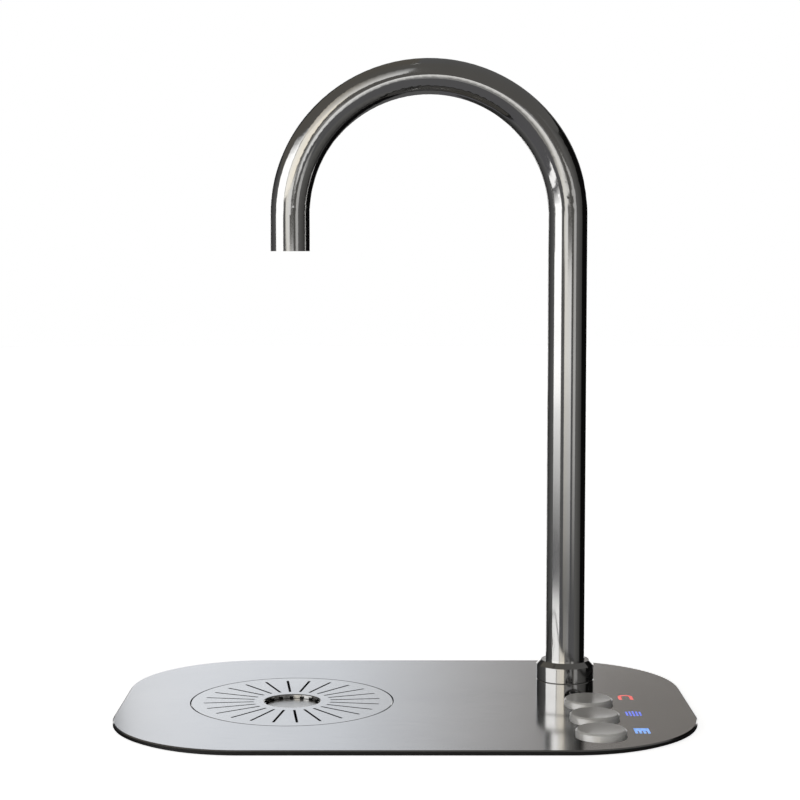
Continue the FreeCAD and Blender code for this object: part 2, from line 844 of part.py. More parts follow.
def make_bowl():
    """The bowl under the grille: seal ring, sloped bowl, and the studs and nuts that hold it."""
    seal = turned_body("bowl_seal", ring_outline("seal_inner", "seal_outer", "0", "seal_thick"), *GRILLE_AXIS)
    sheet_foot = "(-bowl_depth - bowl_fall)"
    bowl = turned_body(
        "drain_bowl",
        [
            ("bowl_mouth", "0"),
            ("bowl_foot", "-bowl_depth"),
            ("sump_radius", sheet_foot),
            ("sump_radius", f"{sheet_foot} - sump_depth"),
            ("sump_hole", f"{sheet_foot} - sump_depth"),
            ("sump_hole", f"{sheet_foot} - sump_depth - bowl_sheet"),
            ("sump_radius + bowl_sheet", f"{sheet_foot} - sump_depth - bowl_sheet"),
            ("sump_radius + bowl_sheet", f"{sheet_foot} - bowl_sheet"),
            ("bowl_foot + bowl_sheet", "-bowl_depth - bowl_sheet"),
            ("bowl_mouth + bowl_sheet", "-bowl_sheet"),
            ("bowl_flange", "-bowl_sheet"),
            ("bowl_flange", "0"),
        ],
        *GRILLE_AXIS,
    )
    for body in (seal, bowl):
        hole = new_sketch(body, "stud_hole")
        draw_circle(hole, "bowl_stud_radius + hole_play", "bowl_stud_circle", "0")
        cut = pocket(body, hole)
        pattern_round(body, hole, cut, "bowl_stud_count")
    studs, nuts = [], []
    count = round(value("bowl_stud_count"))
    for number in range(count):
        x = f"grille_x + bowl_stud_circle * cos({360 * number / count})"
        y = f"grille_y + bowl_stud_circle * sin({360 * number / count})"
        foot = f"{PLATE_UNDERSIDE} - bowl_stud_length"
        studs.append(cylinder(f"bowl_stud_{number}", "bowl_stud_radius", "bowl_stud_length", x, y, foot))
        size = ("bowl_nut_radius", "bowl_stud_radius", "bowl_nut_height")
        nuts.append(nut(f"bowl_nut_{number}", *size, x, y, "-bowl_sheet - bowl_nut_height"))
    group("bowl_studs", studs)
    group("bowl_nuts", nuts)


def make_waste():
    """The waste fitting through the bowl's sump, with the washer and nut that clamp it."""
    top = "(-bowl_depth - bowl_fall)"
    seat = f"({top} - sump_depth)"
    body_foot = f"({seat} - waste_body)"
    taper_foot = f"({body_foot} - waste_taper)"
    turned_body(
        "waste_fitting",
        [
            ("waste_bore", top),
            ("waste_bore", f"{body_foot} + 2"),
            ("spigot_bore", f"{taper_foot} + 2"),
            ("spigot_bore", f"{taper_foot} - spigot_length"),
            ("spigot_radius", f"{taper_foot} - spigot_length"),
            ("spigot_radius", taper_foot),
            ("waste_radius", body_foot),
            ("waste_radius", seat),
            ("waste_flange", seat),
            ("waste_flange", top),
        ],
        *GRILLE_AXIS,
    )
    under_bowl = f"({seat} - bowl_sheet)"
    washer_foot = f"{under_bowl} - waste_washer_thick"
    washer = ring_outline("waste_radius + hole_play", "waste_washer_outer", washer_foot, under_bowl)
    turned_body("waste_washer", washer, *GRILLE_AXIS)
    nut_foot = f"{under_bowl} - waste_washer_thick - waste_nut_height"
    size = ("waste_nut_radius", "waste_radius", "waste_nut_height")
    keep(nut("waste_nut", *size, *GRILLE_AXIS, nut_foot), "waste_nut")


# ---- column ----


def on_column(name, outline):
    """A turned piece of the column, with heights counted from the plate's top."""
    return turned_body(name, outline, *COLUMN_AXIS, PLATE_TOP, SPOUT_TURN)


def bore_for_stop(body, height):
    """The stop screw's hole, through the wall on the side away from the user."""
    hole = new_sketch(body, "stop_hole", "XZ_Plane")
    draw_circle(hole, "stop_radius", "0", height)
    pocket(body, hole, "collar_radius + 1", along_normal=True)


def make_fixed_column():
    shank = on_column(
        "threaded_shank",
        [
            ("shank_bore", "-shank_length"),
            ("shank_radius", "-shank_length"),
            ("shank_radius", "0"),
            ("shank_flange", "0"),
            ("shank_flange", "shank_flange_height"),
            ("swivel_radius", "shank_flange_height"),
            ("swivel_radius", "spigot_top"),
            ("shank_bore", "spigot_top"),
        ],
    )
    ring_space = new_sketch(shank, "friction_space", "XZ_Plane")
    low, high = "friction_height - friction_section - 0.3", "friction_height + friction_section + 0.3"
    draw_lines(ring_space, ring_outline("friction_groove", "swivel_radius + 1", low, high))
    groove(shank, ring_space)
    oring_space = new_sketch(shank, "oring_space", "XZ_Plane")
    width = ("oring_radius - oring_groove", "oring_radius + oring_groove")
    draw_lines(oring_space, ring_outline(*width, "-1", "2 * oring_section"))
    groove(shank, oring_space)
    stop_space = new_sketch(shank, "stop_space", "YZ_Plane")
    low, high = "stop_height - stop_groove_width / 2", "stop_height + stop_groove_width / 2"
    draw_lines(stop_space, ring_outline("-stop_groove_floor", "-swivel_radius - 1", low, high))
    groove(shank, stop_space, "2 * (swing_limit + 1 + asin(stop_tip_radius / stop_tip) / 1 deg)")

    at_plate = (*COLUMN_AXIS, f"{PLATE_TOP} + oring_section")
    keep(torus("base_oring", "oring_radius", "oring_section", *at_plate), "base_oring")
    at_friction = (*COLUMN_AXIS, f"{PLATE_TOP} + friction_height")
    mid_radius = "friction_groove + friction_section + 0.02"
    keep(torus("friction_ring", mid_radius, "friction_section", *at_friction), "friction_ring")
    on_column(
        "base_collar",
        [
            ("shank_flange", "0"),
            ("collar_radius", "0"),
            ("collar_radius", "base_collar_height - collar_edge"),
            ("collar_radius - collar_edge", "base_collar_height"),
            ("base_collar_bore", "base_collar_height"),
            ("base_collar_bore", "shank_flange_height"),
            ("shank_flange", "shank_flange_height"),
        ],
    )
    bearing = ring_outline("base_collar_bore", "bearing_radius", "base_collar_height", TUBE_FOOT)
    on_column("bearing_washer", bearing)
    under_plate = "(-plate_thick - stiffener_thick)"
    washer_foot = f"{under_plate} - washer_thick"
    washer = ring_outline("shank_radius + shank_play", "washer_outer", washer_foot, under_plate)
    on_column("shank_washer", washer)
    nut_foot = f"{PLATE_TOP} + {under_plate} - washer_thick - lock_nut_height"
    size = ("lock_nut_radius", "shank_radius", "lock_nut_height")
    keep(nut("lock_nut", *size, *COLUMN_AXIS, nut_foot), "lock_nut")


def make_swivel():
    collar_top = f"({TUBE_FOOT} + swivel_collar_height)"
    collar = on_column(
        "swivel_collar",
        [
            ("tube_radius", TUBE_FOOT),
            ("collar_radius - collar_edge", TUBE_FOOT),
            ("collar_radius", f"{TUBE_FOOT} + collar_edge"),
            ("collar_radius", f"{collar_top} - swivel_collar_bevel"),
            ("collar_radius - swivel_collar_bevel", collar_top),
            ("tube_radius", collar_top),
        ],
    )
    bore_for_stop(collar, "stop_height")
    bushes = []
    for name in ("lower_bush", "upper_bush"):
        foot = f"{name}_foot"
        top = f"{foot} + bush_height"
        outline = ring_outline("swivel_radius + swivel_play", "tube_radius - tube_wall", foot, top)
        bushes.append(on_column(name, outline))
    bore_for_stop(bushes[0], "stop_height")

    screw = new_body("stop_screw", *COLUMN_AXIS, f"{PLATE_TOP} + stop_height", SPOUT_TURN)
    profile = new_sketch(screw, "profile", "YZ_Plane")
    draw_lines(
        profile,
        [
            ("-stop_outer", "0"),
            ("-stop_outer", "stop_radius"),
            ("-stop_shoulder", "stop_radius"),
            ("-stop_shoulder", "stop_tip_radius"),
            ("-stop_tip", "stop_tip_radius"),
            ("-stop_tip", "0"),
        ],
    )
    revolve(screw, profile, "H_Axis")
    socket = new_sketch(screw, "socket", "XZ_Plane", lift="stop_outer - stop_socket_depth")
    corners = [(f"stop_socket * cos({60 * turn})", f"stop_socket * sin({60 * turn})") for turn in range(6)]
    draw_lines(socket, corners)
    pocket(screw, socket, "stop_socket_depth + 1", along_normal=True)


# ---- gooseneck and water tubes ----


def bent_tube(name, x, y, z, outer, inner, rise, bend, drop):
    """A tube that rises, turns over a half circle towards its own +X and comes down again."""
    body = new_body(name, x, y, z, SPOUT_TURN)
    path = new_sketch(body, "path", "XZ_Plane")
    high, reach = value(rise), 2 * value(bend)
    column = path.addGeometry(Part.LineSegment(FreeCAD.Vector(0, 0, 0), FreeCAD.Vector(0, high, 0)))
    arc = draw_arc(path, bend, rise, bend, 0, 180)
    foot = FreeCAD.Vector(reach, high - value(drop), 0)
    spout = path.addGeometry(Part.LineSegment(FreeCAD.Vector(reach, high, 0), foot))
    hold(path, column, 1, "0", "0")
    hold(path, column, 2, "0", rise)
    path.addConstraint(Sketcher.Constraint("Coincident", arc, 2, column, 2))
    path.addConstraint(Sketcher.Constraint("Coincident", arc, 1, spout, 1))
    hold(path, spout, 1, y=rise)
    hold(path, spout, 2, f"2 * ({bend})", f"{rise} - ({drop})")
    section = new_sketch(body, "section")
    draw_circle(section, outer)
    draw_circle(section, inner)
    pipe = body.newObject("PartDesign::AdditivePipe", f"{name}_pipe")
    pipe.Profile = section
    pipe.Spine = (path, ["Edge1", "Edge2", "Edge3"])
    doc.recompute()
    return body


def neck_skin(name, shrink):
    """The neck's outside, or its bore if shrunk: two straight runs and a bend that is flattest at its top."""
    rise = f"(neck_height - {TUBE_FOOT})"
    radius = f"(tube_radius - {shrink})"
    stations = []
    for number in range(NECK_STATIONS + 1):
        angle = 180 * number / NECK_STATIONS
        flat = f"sin({angle}) ^ 2"
        in_plane = f"({radius} - {flat} * (neck_flat_outer + neck_flat_inner) / 2)"
        bend = f"(neck_radius - {flat} * (neck_flat_outer - neck_flat_inner) / 2)"
        station = doc.addObject("Part::Ellipse", f"{name}_station_{number}")
        bind(station, "MajorRadius", radius)
        bind(station, "MinorRadius", in_plane)
        upright = FreeCAD.Rotation(FreeCAD.Vector(0, 1, 0), angle)
        sideways = FreeCAD.Rotation(FreeCAD.Vector(0, 0, 1), 90)
        station.Placement = FreeCAD.Placement(FreeCAD.Vector(0, 0, 0), upright * sideways)
        bind(station, "Placement.Base.x", f"neck_radius - {bend} * cos({angle})")
        bind(station, "Placement.Base.z", f"{rise} + {bend} * sin({angle})")
        stations.append(station)
    bend = doc.addObject("Part::Loft", f"{name}_bend")
    bend.Sections = stations
    bend.Solid = True
    column = cylinder(f"{name}_column", radius, rise)
    spout = cylinder(f"{name}_spout", radius, "spout_drop", "2 * neck_radius", 0, f"{rise} - spout_drop")
    return fused(name, [column, bend, spout])


def make_gooseneck():
    outside = neck_skin("neck_outside", "0")
    bore = neck_skin("neck_bore", "tube_wall")
    stop_z = f"stop_height - {TUBE_FOOT}"
    stop_hole = cylinder("neck_stop_hole", "stop_radius", "tube_radius + 1", 0, 0, stop_z)
    stop_hole.Placement.Rotation = FreeCAD.Rotation(FreeCAD.Vector(1, 0, 0), 90)
    tube = less("gooseneck_tube", less("neck_shell", outside, bore), stop_hole)
    place(tube, *COLUMN_AXIS, f"{PLATE_TOP} + {TUBE_FOOT}", SPOUT_TURN)
    keep(tube, "gooseneck_tube")


def make_water_tubes():
    """Three tubes, whole from the nozzle to their tails below the shank, in a triangle."""
    for kind, angle in zip(BUTTONS, (90, 210, 330)):
        along, across = f"water_tube_circle * cos({angle})", f"water_tube_circle * sin({angle})"
        x = f"column_x + ({along}) * cos({SPOUT_TURN}) - ({across}) * sin({SPOUT_TURN})"
        y = f"column_y + ({along}) * sin({SPOUT_TURN}) + ({across}) * cos({SPOUT_TURN})"
        below = f"(shank_length + {kind}_tail)"
        rise = f"(neck_height + {below})"
        bend = f"(neck_radius - {along})"
        drop = "spout_drop - nozzle_recess - tube_end_recess"
        size = ("water_tube_radius", "water_tube_bore")
        tube = bent_tube(f"{kind}_tube", x, y, f"{PLATE_TOP} - {below}", *size, rise, bend, drop)
        mark = new_sketch(tube, "depth_mark", "XZ_Plane")
        inner, outer = "water_tube_radius - mark_depth", "water_tube_radius + 1"
        draw_lines(mark, ring_outline(inner, outer, "mark_height", "mark_height + mark_width"))
        groove(tube, mark)


def make_nozzle():
    reach = "2 * neck_radius"
    x = f"column_x + {reach} * cos({SPOUT_TURN})"
    y = f"column_y + {reach} * sin({SPOUT_TURN})"
    z = f"({PLATE_TOP} + neck_height - spout_drop + nozzle_recess)"
    wall = "tube_radius - tube_wall"
    low = "(nozzle_height - nozzle_groove_height) / 2"
    outline = [("0", "0"), (wall, "0"), (wall, low), ("nozzle_groove", low)]
    outline += [("nozzle_groove", f"{low} + nozzle_groove_height"), (wall, f"{low} + nozzle_groove_height")]
    outline += [(wall, "nozzle_height"), ("0", "nozzle_height")]
    nozzle = turned_body("spout_nozzle", outline, x, y, z, SPOUT_TURN)
    outlets = new_sketch(nozzle, "outlets")
    for angle in (90, 210, 330):
        centre = (f"-water_tube_circle * cos({angle})", f"water_tube_circle * sin({angle})")
        draw_circle(outlets, "water_tube_radius", *centre)
    pocket(nozzle, outlets)
    middle = f"{z} + nozzle_height / 2"
    ring_radius = "nozzle_groove + nozzle_oring_section + 0.02"
    keep(torus("nozzle_oring", ring_radius, "nozzle_oring_section", x, y, middle), "nozzle_oring")


# ---- buttons and symbols ----


def make_button(kind):
    """A push button: cap with its stem, magnet, guide bush and return spring."""
    at = ("button_x", f"{kind}_y", PLATE_TOP)
    lip_top = "(-plate_thick - lip_drop)"
    skirt_foot = f"({lip_top} - lip_thick)"
    cap = turned_body(
        f"{kind}_button_cap",
        [
            ("0", "-stem_foot"),
            ("stem_radius", "-stem_foot"),
            ("stem_radius", "roof_underside"),
            ("skirt_inner", "roof_underside"),
            ("skirt_inner", skirt_foot),
            ("lip_radius", skirt_foot),
            ("lip_radius", lip_top),
            ("button_radius", lip_top),
            ("button_radius", "button_height - button_bevel"),
            ("button_radius - button_bevel", "button_height"),
            ("0", "button_height"),
        ],
        *at,
    )
    sphere_radius = "((dish_radius ^ 2 + dish_depth ^ 2) / (2 * dish_depth))"
    before = cap.Shape.Volume
    dish = cap.newObject("PartDesign::SubtractiveSphere", f"{kind}_dish")
    bind(dish, "Radius", sphere_radius)
    bind(dish, "Placement.Base.z", f"button_height - dish_depth + {sphere_radius}")
    cut_away(dish, before)

    magnet = [("0", "-stem_foot - magnet_thick"), ("magnet_radius", "-stem_foot - magnet_thick")]
    magnet += [("magnet_radius", "-stem_foot"), ("0", "-stem_foot")]
    turned_body(f"{kind}_magnet", magnet, *at)

    floor = "(-plate_thick - stiffener_thick - button_well)"
    flange_top = f"({floor} + guide_flange_thick)"
    turned_body(
        f"{kind}_guide",
        [
            ("stem_radius + stem_play", f"{floor} - guide_length"),
            ("guide_radius", f"{floor} - guide_length"),
            ("guide_radius", floor),
            ("guide_flange", floor),
            ("guide_flange", flange_top),
            ("seal_radius", flange_top),
            ("seal_radius", floor),
            ("stem_radius + stem_play", floor),
        ],
        *at,
    )
    seal_at = (*at[:2], f"{PLATE_TOP} + {floor}")
    seal = cylinder(f"{kind}_seal_blank", "seal_radius", "guide_flange_thick", *seal_at)
    hole = cylinder(f"{kind}_seal_hole", "stem_radius + seal_play", "guide_flange_thick", *seal_at)

    spring_low = f"({flange_top} + spring_end_play + spring_wire / 2)"
    spring = new_body(f"{kind}_spring", *at[:2], f"{PLATE_TOP} + {spring_low}")
    wire = new_sketch(spring, "wire", "XZ_Plane")
    draw_circle(wire, "spring_wire / 2", "spring_radius", "0")
    coil = spring.newObject("PartDesign::AdditiveHelix", f"{kind}_coil")
    coil.Profile = wire
    coil.ReferenceAxis = (wire, ["V_Axis"])
    coil.Mode = "height-turns-angle"
    bind(coil, "Height", f"roof_underside - spring_end_play - spring_wire / 2 - {spring_low}")
    bind(coil, "Turns", "spring_turns")
    coil.Angle = 0
    doc.recompute()
    return less(f"{kind}_seal", seal, hole)


def make_lens(kind):
    """A light guide: a post over the lamp, a block in the stiffener and the symbol up to the plate's top."""
    body = new_body(f"{kind}_icon_lens", "icon_x", f"{kind}_icon_y", STIFFENER_UNDERSIDE)
    block = new_sketch(body, "block")
    draw_box(block, "0", "0", "lens_width", "lens_depth")
    pad(body, block, "stiffener_thick")
    symbol = new_sketch(body, "symbol", lift="stiffener_thick")
    DRAW_SYMBOL[kind](symbol, "0", "0")
    pad(body, symbol, "plate_thick")
    post_length = f"({STIFFENER_UNDERSIDE} + post_foot)"
    post = new_sketch(body, "post", lift=f"-{post_length}")
    draw_circle(post, "post_radius", "0", "-post_forward")
    pad(body, post, post_length)


# ---- control housing ----


def draw_housing_outline(sketch, inset):
    """The housing's outline, drawn in by an inset: its corners follow the cut-out and the lock nut."""
    radii = [f"{corner} - ({inset})" for corner in
             ("housing_corner", "housing_nose", "housing_corner", "housing_shoulder")]
    low = (f"housing_left + {inset}", f"housing_front + {inset}")
    high = (f"housing_right - ({inset})", f"housing_back - ({inset})")
    draw_rounded(sketch, *low, *high, radii)


def make_housing():
    foot = f"({STIFFENER_UNDERSIDE} - housing_height)"
    body = new_body("control_housing", z=foot)
    outline = new_sketch(body, "outline")
    draw_housing_outline(outline, "0")
    pad(body, outline, "housing_height")
    inside = new_sketch(body, "inside")
    draw_housing_outline(inside, "housing_wall")
    pocket(body, inside, "housing_height - housing_roof", along_normal=True)
    bosses = new_sketch(body, "bosses")
    for x, y in HOUSING_BOSSES:
        draw_circle(bosses, "boss_radius", x, y)
    pad(body, bosses, "housing_height")
    board_bosses = new_sketch(body, "board_bosses", lift=f"board_top - {foot}")
    for x, y in BOARD_BOSSES:
        draw_circle(board_bosses, "board_boss_radius", x, y)
    pad(body, board_bosses, f"{STIFFENER_UNDERSIDE} - board_top")
    wells = new_sketch(body, "wells", lift="housing_height")
    holes = new_sketch(body, "holes")
    for kind in BUTTONS:
        draw_circle(wells, "lip_radius + lip_play", "button_x", f"{kind}_y")
        draw_circle(holes, "guide_radius", "button_x", f"{kind}_y")
        draw_circle(holes, "post_radius + post_play", "icon_x", f"{kind}_icon_y - post_forward")
    for x, y in HOUSING_BOSSES:
        draw_circle(holes, "long_screw_radius", x, y)
    pocket(body, wells, "button_well")
    pocket(body, holes)
    board_holes = new_sketch(body, "board_holes", lift=f"board_top - {foot}")
    for x, y in BOARD_BOSSES:
        draw_circle(board_holes, "board_screw_radius", x, y)
    pocket(body, board_holes, "board_screw_length", along_normal=True)


def make_cover():
    """The housing's cover with its seal, and the long screws that hold both to the stiffener."""
    housing_foot = f"({STIFFENER_UNDERSIDE} - housing_height)"
    seal = new_body("cover_seal", z=f"{housing_foot} - cover_seal_thick")
    band = new_sketch(seal, "band")
    draw_housing_outline(band, "0")
    draw_housing_outline(band, "housing_wall")
    pad(seal, band, "cover_seal_thick")
    cover_top = f"({housing_foot} - cover_seal_thick)"
    cover = new_body("housing_cover", z=f"{cover_top} - cover_thick")
    outline = new_sketch(cover, "outline")
    draw_housing_outline(outline, "0")
    pad(cover, outline, "cover_thick")
    holes = new_sketch(cover, "holes")
    for x, y in HOUSING_BOSSES:
        draw_circle(holes, "long_screw_radius", x, y)
    width, depth = "(socket_width + 2 * socket_play)", "(socket_depth + 2 * socket_play)"
    draw_box(holes, "socket_x", "socket_y", width, depth)
    pocket(cover, holes)
    screws = []
    head_top = f"({cover_top} - cover_thick)"
    for number, (x, y) in enumerate(HOUSING_BOSSES):
        name = f"housing_screw_{number}"
        length = f"{PLATE_UNDERSIDE} - {head_top}"
        shaft = cylinder(f"{name}_shaft", "long_screw_radius", length, x, y, head_top)
        head_foot = f"{head_top} - screw_head_height"
        head = cylinder(f"{name}_head", "screw_head_radius", "screw_head_height", x, y, head_foot)
        screws.append(fused(name, [shaft, head]))
    group("housing_screws", screws)


def make_board():
    """The circuit board with its sensors, lamps, screws and harness socket."""
    underside = "(board_top - board_thick)"
    body = new_body("control_pcb", z=underside)
    outline = new_sketch(body, "outline")
    draw_housing_outline(outline, "board_inset")
    pad(body, outline, "board_thick")
    holes = new_sketch(body, "holes")
    for x, y in BOARD_BOSSES:
        draw_circle(holes, "board_screw_radius", x, y)
    pocket(body, holes)
    notches = new_sketch(body, "notches")
    for x, y in HOUSING_BOSSES:
        draw_circle(notches, "boss_radius + board_notch", x, y)
    pocket(body, notches)
    screws = []
    for number, (x, y) in enumerate(BOARD_BOSSES):
        name = f"pcb_screw_{number}"
        length = "board_thick + board_screw_length - 0.5"
        shaft = cylinder(f"{name}_shaft", "board_screw_radius", length, x, y, underside)
        head_foot = f"{underside} - screw_head_height"
        head = cylinder(f"{name}_head", "screw_head_radius", "screw_head_height", x, y, head_foot)
        screws.append(fused(name, [shaft, head]))
    group("pcb_screws", screws)
    sensors, lamps = [], []
    for kind in BUTTONS:
        size = ("sensor_side", "sensor_side", "sensor_height")
        sensors.append(box(f"{kind}_sensor", *size, "button_x", f"{kind}_y", "board_top"))
        size = ("lamp_side", "lamp_side", "lamp_height")
        lamps.append(box(f"{kind}_lamp", *size, "icon_x", f"{kind}_icon_y - post_forward", "board_top"))
    group("hall_sensors", sensors)
    group("indicator_leds", lamps)
    socket_foot = f"({underside} - socket_height)"
    size = ("socket_width", "socket_depth", "socket_height")
    shell = box("socket_shell", *size, "socket_x", "socket_y", socket_foot)
    width, depth = "socket_width - 2 * socket_wall", "socket_depth - 2 * socket_wall"
    mouth = box("socket_mouth", width, depth, "socket_cavity", "socket_x", "socket_y", socket_foot)
    keep(less("harness_socket", shell, mouth), "harness_socket")
    pins = []
    for column in (-2, -1, 0, 1, 2):
        for row in (-0.5, 0.5):
            x, y = f"(socket_x + {column} * pin_pitch)", f"(socket_y + {row} * pin_pitch)"
            pin_foot = f"{socket_foot} + socket_cavity - pin_length"
            pins.append(box(f"socket_pin_{len(pins)}", "pin_side", "pin_side", "pin_length", x, y, pin_foot))
    group("socket_pins", pins)


# ---- the whole ----


def check_states():
    """Stops the build if any object of the document has failed."""
    for item in doc.Objects:
        if {"Invalid", "Error"} & set(item.State):
            raise RuntimeError(f"{item.Label} is {item.State}")
    for item in nodes:
        if item.Shape.isNull() or not item.Shape.isValid() or not item.Shape.Solids:
            raise RuntimeError(f"{item.Label} has no valid shape")


fill_sheet()
make_base_plate()
make_gasket()
make_stiffener()
make_clamps()
make_grille()
make_strainer()
make_bowl()
make_waste()
make_fixed_column()
make_swivel()
make_gooseneck()
make_water_tubes()
make_nozzle()
group("stem_seals", [make_button(kind) for kind in BUTTONS])
for kind in BUTTONS:
    make_lens(kind)
make_housing()
make_cover()
make_board()
doc.recompute()
check_states()

os.makedirs("parts", exist_ok=True)
for item in nodes:
    item.Shape.exportStep(f"parts/{item.Label}.step")
print(f"{len(nodes)} sub-parts written")
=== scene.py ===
"""Countertop water dispenser: finishes for every piece, a worktop, a studio and a camera."""
import json
import math

import bpy
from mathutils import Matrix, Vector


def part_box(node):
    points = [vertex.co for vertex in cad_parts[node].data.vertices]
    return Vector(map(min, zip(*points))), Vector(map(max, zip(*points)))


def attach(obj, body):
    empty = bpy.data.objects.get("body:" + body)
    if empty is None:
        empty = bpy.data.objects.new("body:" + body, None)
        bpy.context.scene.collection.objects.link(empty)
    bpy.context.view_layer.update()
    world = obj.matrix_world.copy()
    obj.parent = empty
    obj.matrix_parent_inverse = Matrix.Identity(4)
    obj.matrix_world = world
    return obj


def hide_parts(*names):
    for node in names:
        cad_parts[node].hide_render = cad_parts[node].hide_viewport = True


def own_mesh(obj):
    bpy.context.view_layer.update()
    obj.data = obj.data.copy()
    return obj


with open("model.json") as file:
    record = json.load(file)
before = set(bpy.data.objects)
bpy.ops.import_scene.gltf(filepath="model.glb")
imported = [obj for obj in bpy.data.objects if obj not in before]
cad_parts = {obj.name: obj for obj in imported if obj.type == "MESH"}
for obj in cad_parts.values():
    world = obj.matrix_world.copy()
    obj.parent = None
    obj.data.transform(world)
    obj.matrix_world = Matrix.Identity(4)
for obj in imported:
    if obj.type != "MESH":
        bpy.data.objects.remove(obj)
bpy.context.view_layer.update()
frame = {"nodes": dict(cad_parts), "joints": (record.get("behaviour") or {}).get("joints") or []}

KINDS = ("hot", "chilled", "sparkling")

# The studio's panels lie on spheres about the plate, in metres; angles are in degrees.
PANEL_REACH = 6.0
HIGH_REACH = 6.2
TENT_REACH = 7.0
PANEL_FACET = 6

# The worktop is cut out below the plate, and a black ring of painted shade, seen only in reflections,
# lies just above it, in metres.
PLATE_CORNER = 0.092
CORNER_STEPS = 24
CUT_INSIDE = 0.012
WORKTOP_MARGIN = 5.0
SHADE_RING_INSIDE = 0.001
SHADE_RING_WIDTH = 0.03
SHADE_RING_HEIGHT = 0.0002

CAMERA_PLACE = (-0.00348, -1.31705, 0.32119)
CAMERA_TILT = 85.523
CAMERA_LENS = 84.836
CAMERA_SENSOR = 36.0
CAMERA_FAR = 50.0


# ---- node helpers ----

def add(tree, kind, inputs=None, **properties):
    """A new node. An input is a plain value, or the output socket that feeds it."""
    node = tree.nodes.new("ShaderNode" + kind)
    for name, setting in properties.items():
        setattr(node, name, setting)
    for name, setting in (inputs or {}).items():
        if isinstance(setting, bpy.types.NodeSocket):
            tree.links.new(setting, node.inputs[name])
        else:
            node.inputs[name].default_value = setting
    return node


def math_node(tree, operation, first, second=0.0):
    return add(tree, "Math", {0: first, 1: second}, operation=operation).outputs[0]


def between(tree, factor, low, high):
    """Spreads a 0 to 1 factor between two values."""
    return add(tree, "MapRange", {"Value": factor, "To Min": low, "To Max": high}).outputs[0]


def tinted(tree, factor, dark, light):
    """A colour that wanders between two shades."""
    ramp = add(tree, "ValToRGB", {"Fac": factor})
    ramp.color_ramp.elements[0].position = 0.3
    ramp.color_ramp.elements[0].color = (*dark, 1)
    ramp.color_ramp.elements[1].position = 0.7
    ramp.color_ramp.elements[1].color = (*light, 1)
    return ramp.outputs["Color"]


def place_on_body(tree):
    """Where a point is on its own body, in metres."""
    return add(tree, "TexCoord").outputs["Object"]


def noise(tree, vector, scale, detail=3.0, stretch=(1, 1, 1), roughness=0.55):
    scaled = add(tree, "Mapping", {"Vector": vector, "Scale": stretch}).outputs[0]
    settings = {"Vector": scaled, "Scale": scale, "Detail": detail, "Roughness": roughness}
    return add(tree, "TexNoise", settings).outputs["Fac"]


def blank(name):
    """An empty material: its tree and its shader."""
    made = bpy.data.materials.new(name)
    made.use_nodes = True
    return made, made.node_tree, made.node_tree.nodes["Principled BSDF"]


def set_shader(shader, **values):
    for name, setting in values.items():
        shader.inputs[name.replace("_", " ")].default_value = setting


def bump(tree, shader, height, distance, under=None):
    inputs = {"Height": height, "Distance": distance, "Strength": 1.0}
    if under is not None:
        inputs["Normal"] = under
    node = add(tree, "Bump", inputs)
    tree.links.new(node.outputs["Normal"], shader.inputs["Normal"])
    return node.outputs["Normal"]


# ---- finishes ----

def brushed(name, dark, light, roughness, grain=(1, 40, 40), scale=60, depth=2e-6, spread=0.0):
    """Metal with fine lines along one axis, faint smudges and a little wandering in its tone."""
    made, tree, shader = blank(name)
    here = place_on_body(tree)
    lines = noise(tree, here, scale, 4.0, grain)
    fine = noise(tree, here, scale * 4, 3.0, grain)
    smudges = noise(tree, here, 14, 3.0)
    tone = math_node(tree, "ADD", math_node(tree, "MULTIPLY", lines, 0.65),
                     math_node(tree, "MULTIPLY", smudges, 0.35))
    tree.links.new(tinted(tree, tone, dark, light), shader.inputs["Base Color"])
    uneven = between(tree, tone, roughness * 0.8, roughness * 1.25)
    tree.links.new(uneven, shader.inputs["Roughness"])
    set_shader(shader, Metallic=1.0, Anisotropic=spread)
    if spread:
        along = add(tree, "CombineXYZ", {"X": 1.0, "Y": 0.0, "Z": 0.0}).outputs[0]
        tree.links.new(along, shader.inputs["Tangent"])
    coarse = bump(tree, shader, lines, depth)
    bump(tree, shader, fine, depth * 0.5, under=coarse)
    return made


def polished(name, dark, light, roughness, depth=1.5e-6):
    """Metal with a mirror polish: hairlines from wiping, water haze and a slow waver."""
    made, tree, shader = blank(name)
    here = place_on_body(tree)
    haze = noise(tree, here, 22, 4.0)
    hairlines = noise(tree, here, 420, 2.0, (1, 1, 0.15))
    tree.links.new(tinted(tree, haze, dark, light), shader.inputs["Base Color"])
    uneven = between(tree, haze, roughness * 0.7, roughness * 1.4)
    tree.links.new(uneven, shader.inputs["Roughness"])
    set_shader(shader, Metallic=1.0)
    bump(tree, shader, hairlines, depth)
    return made


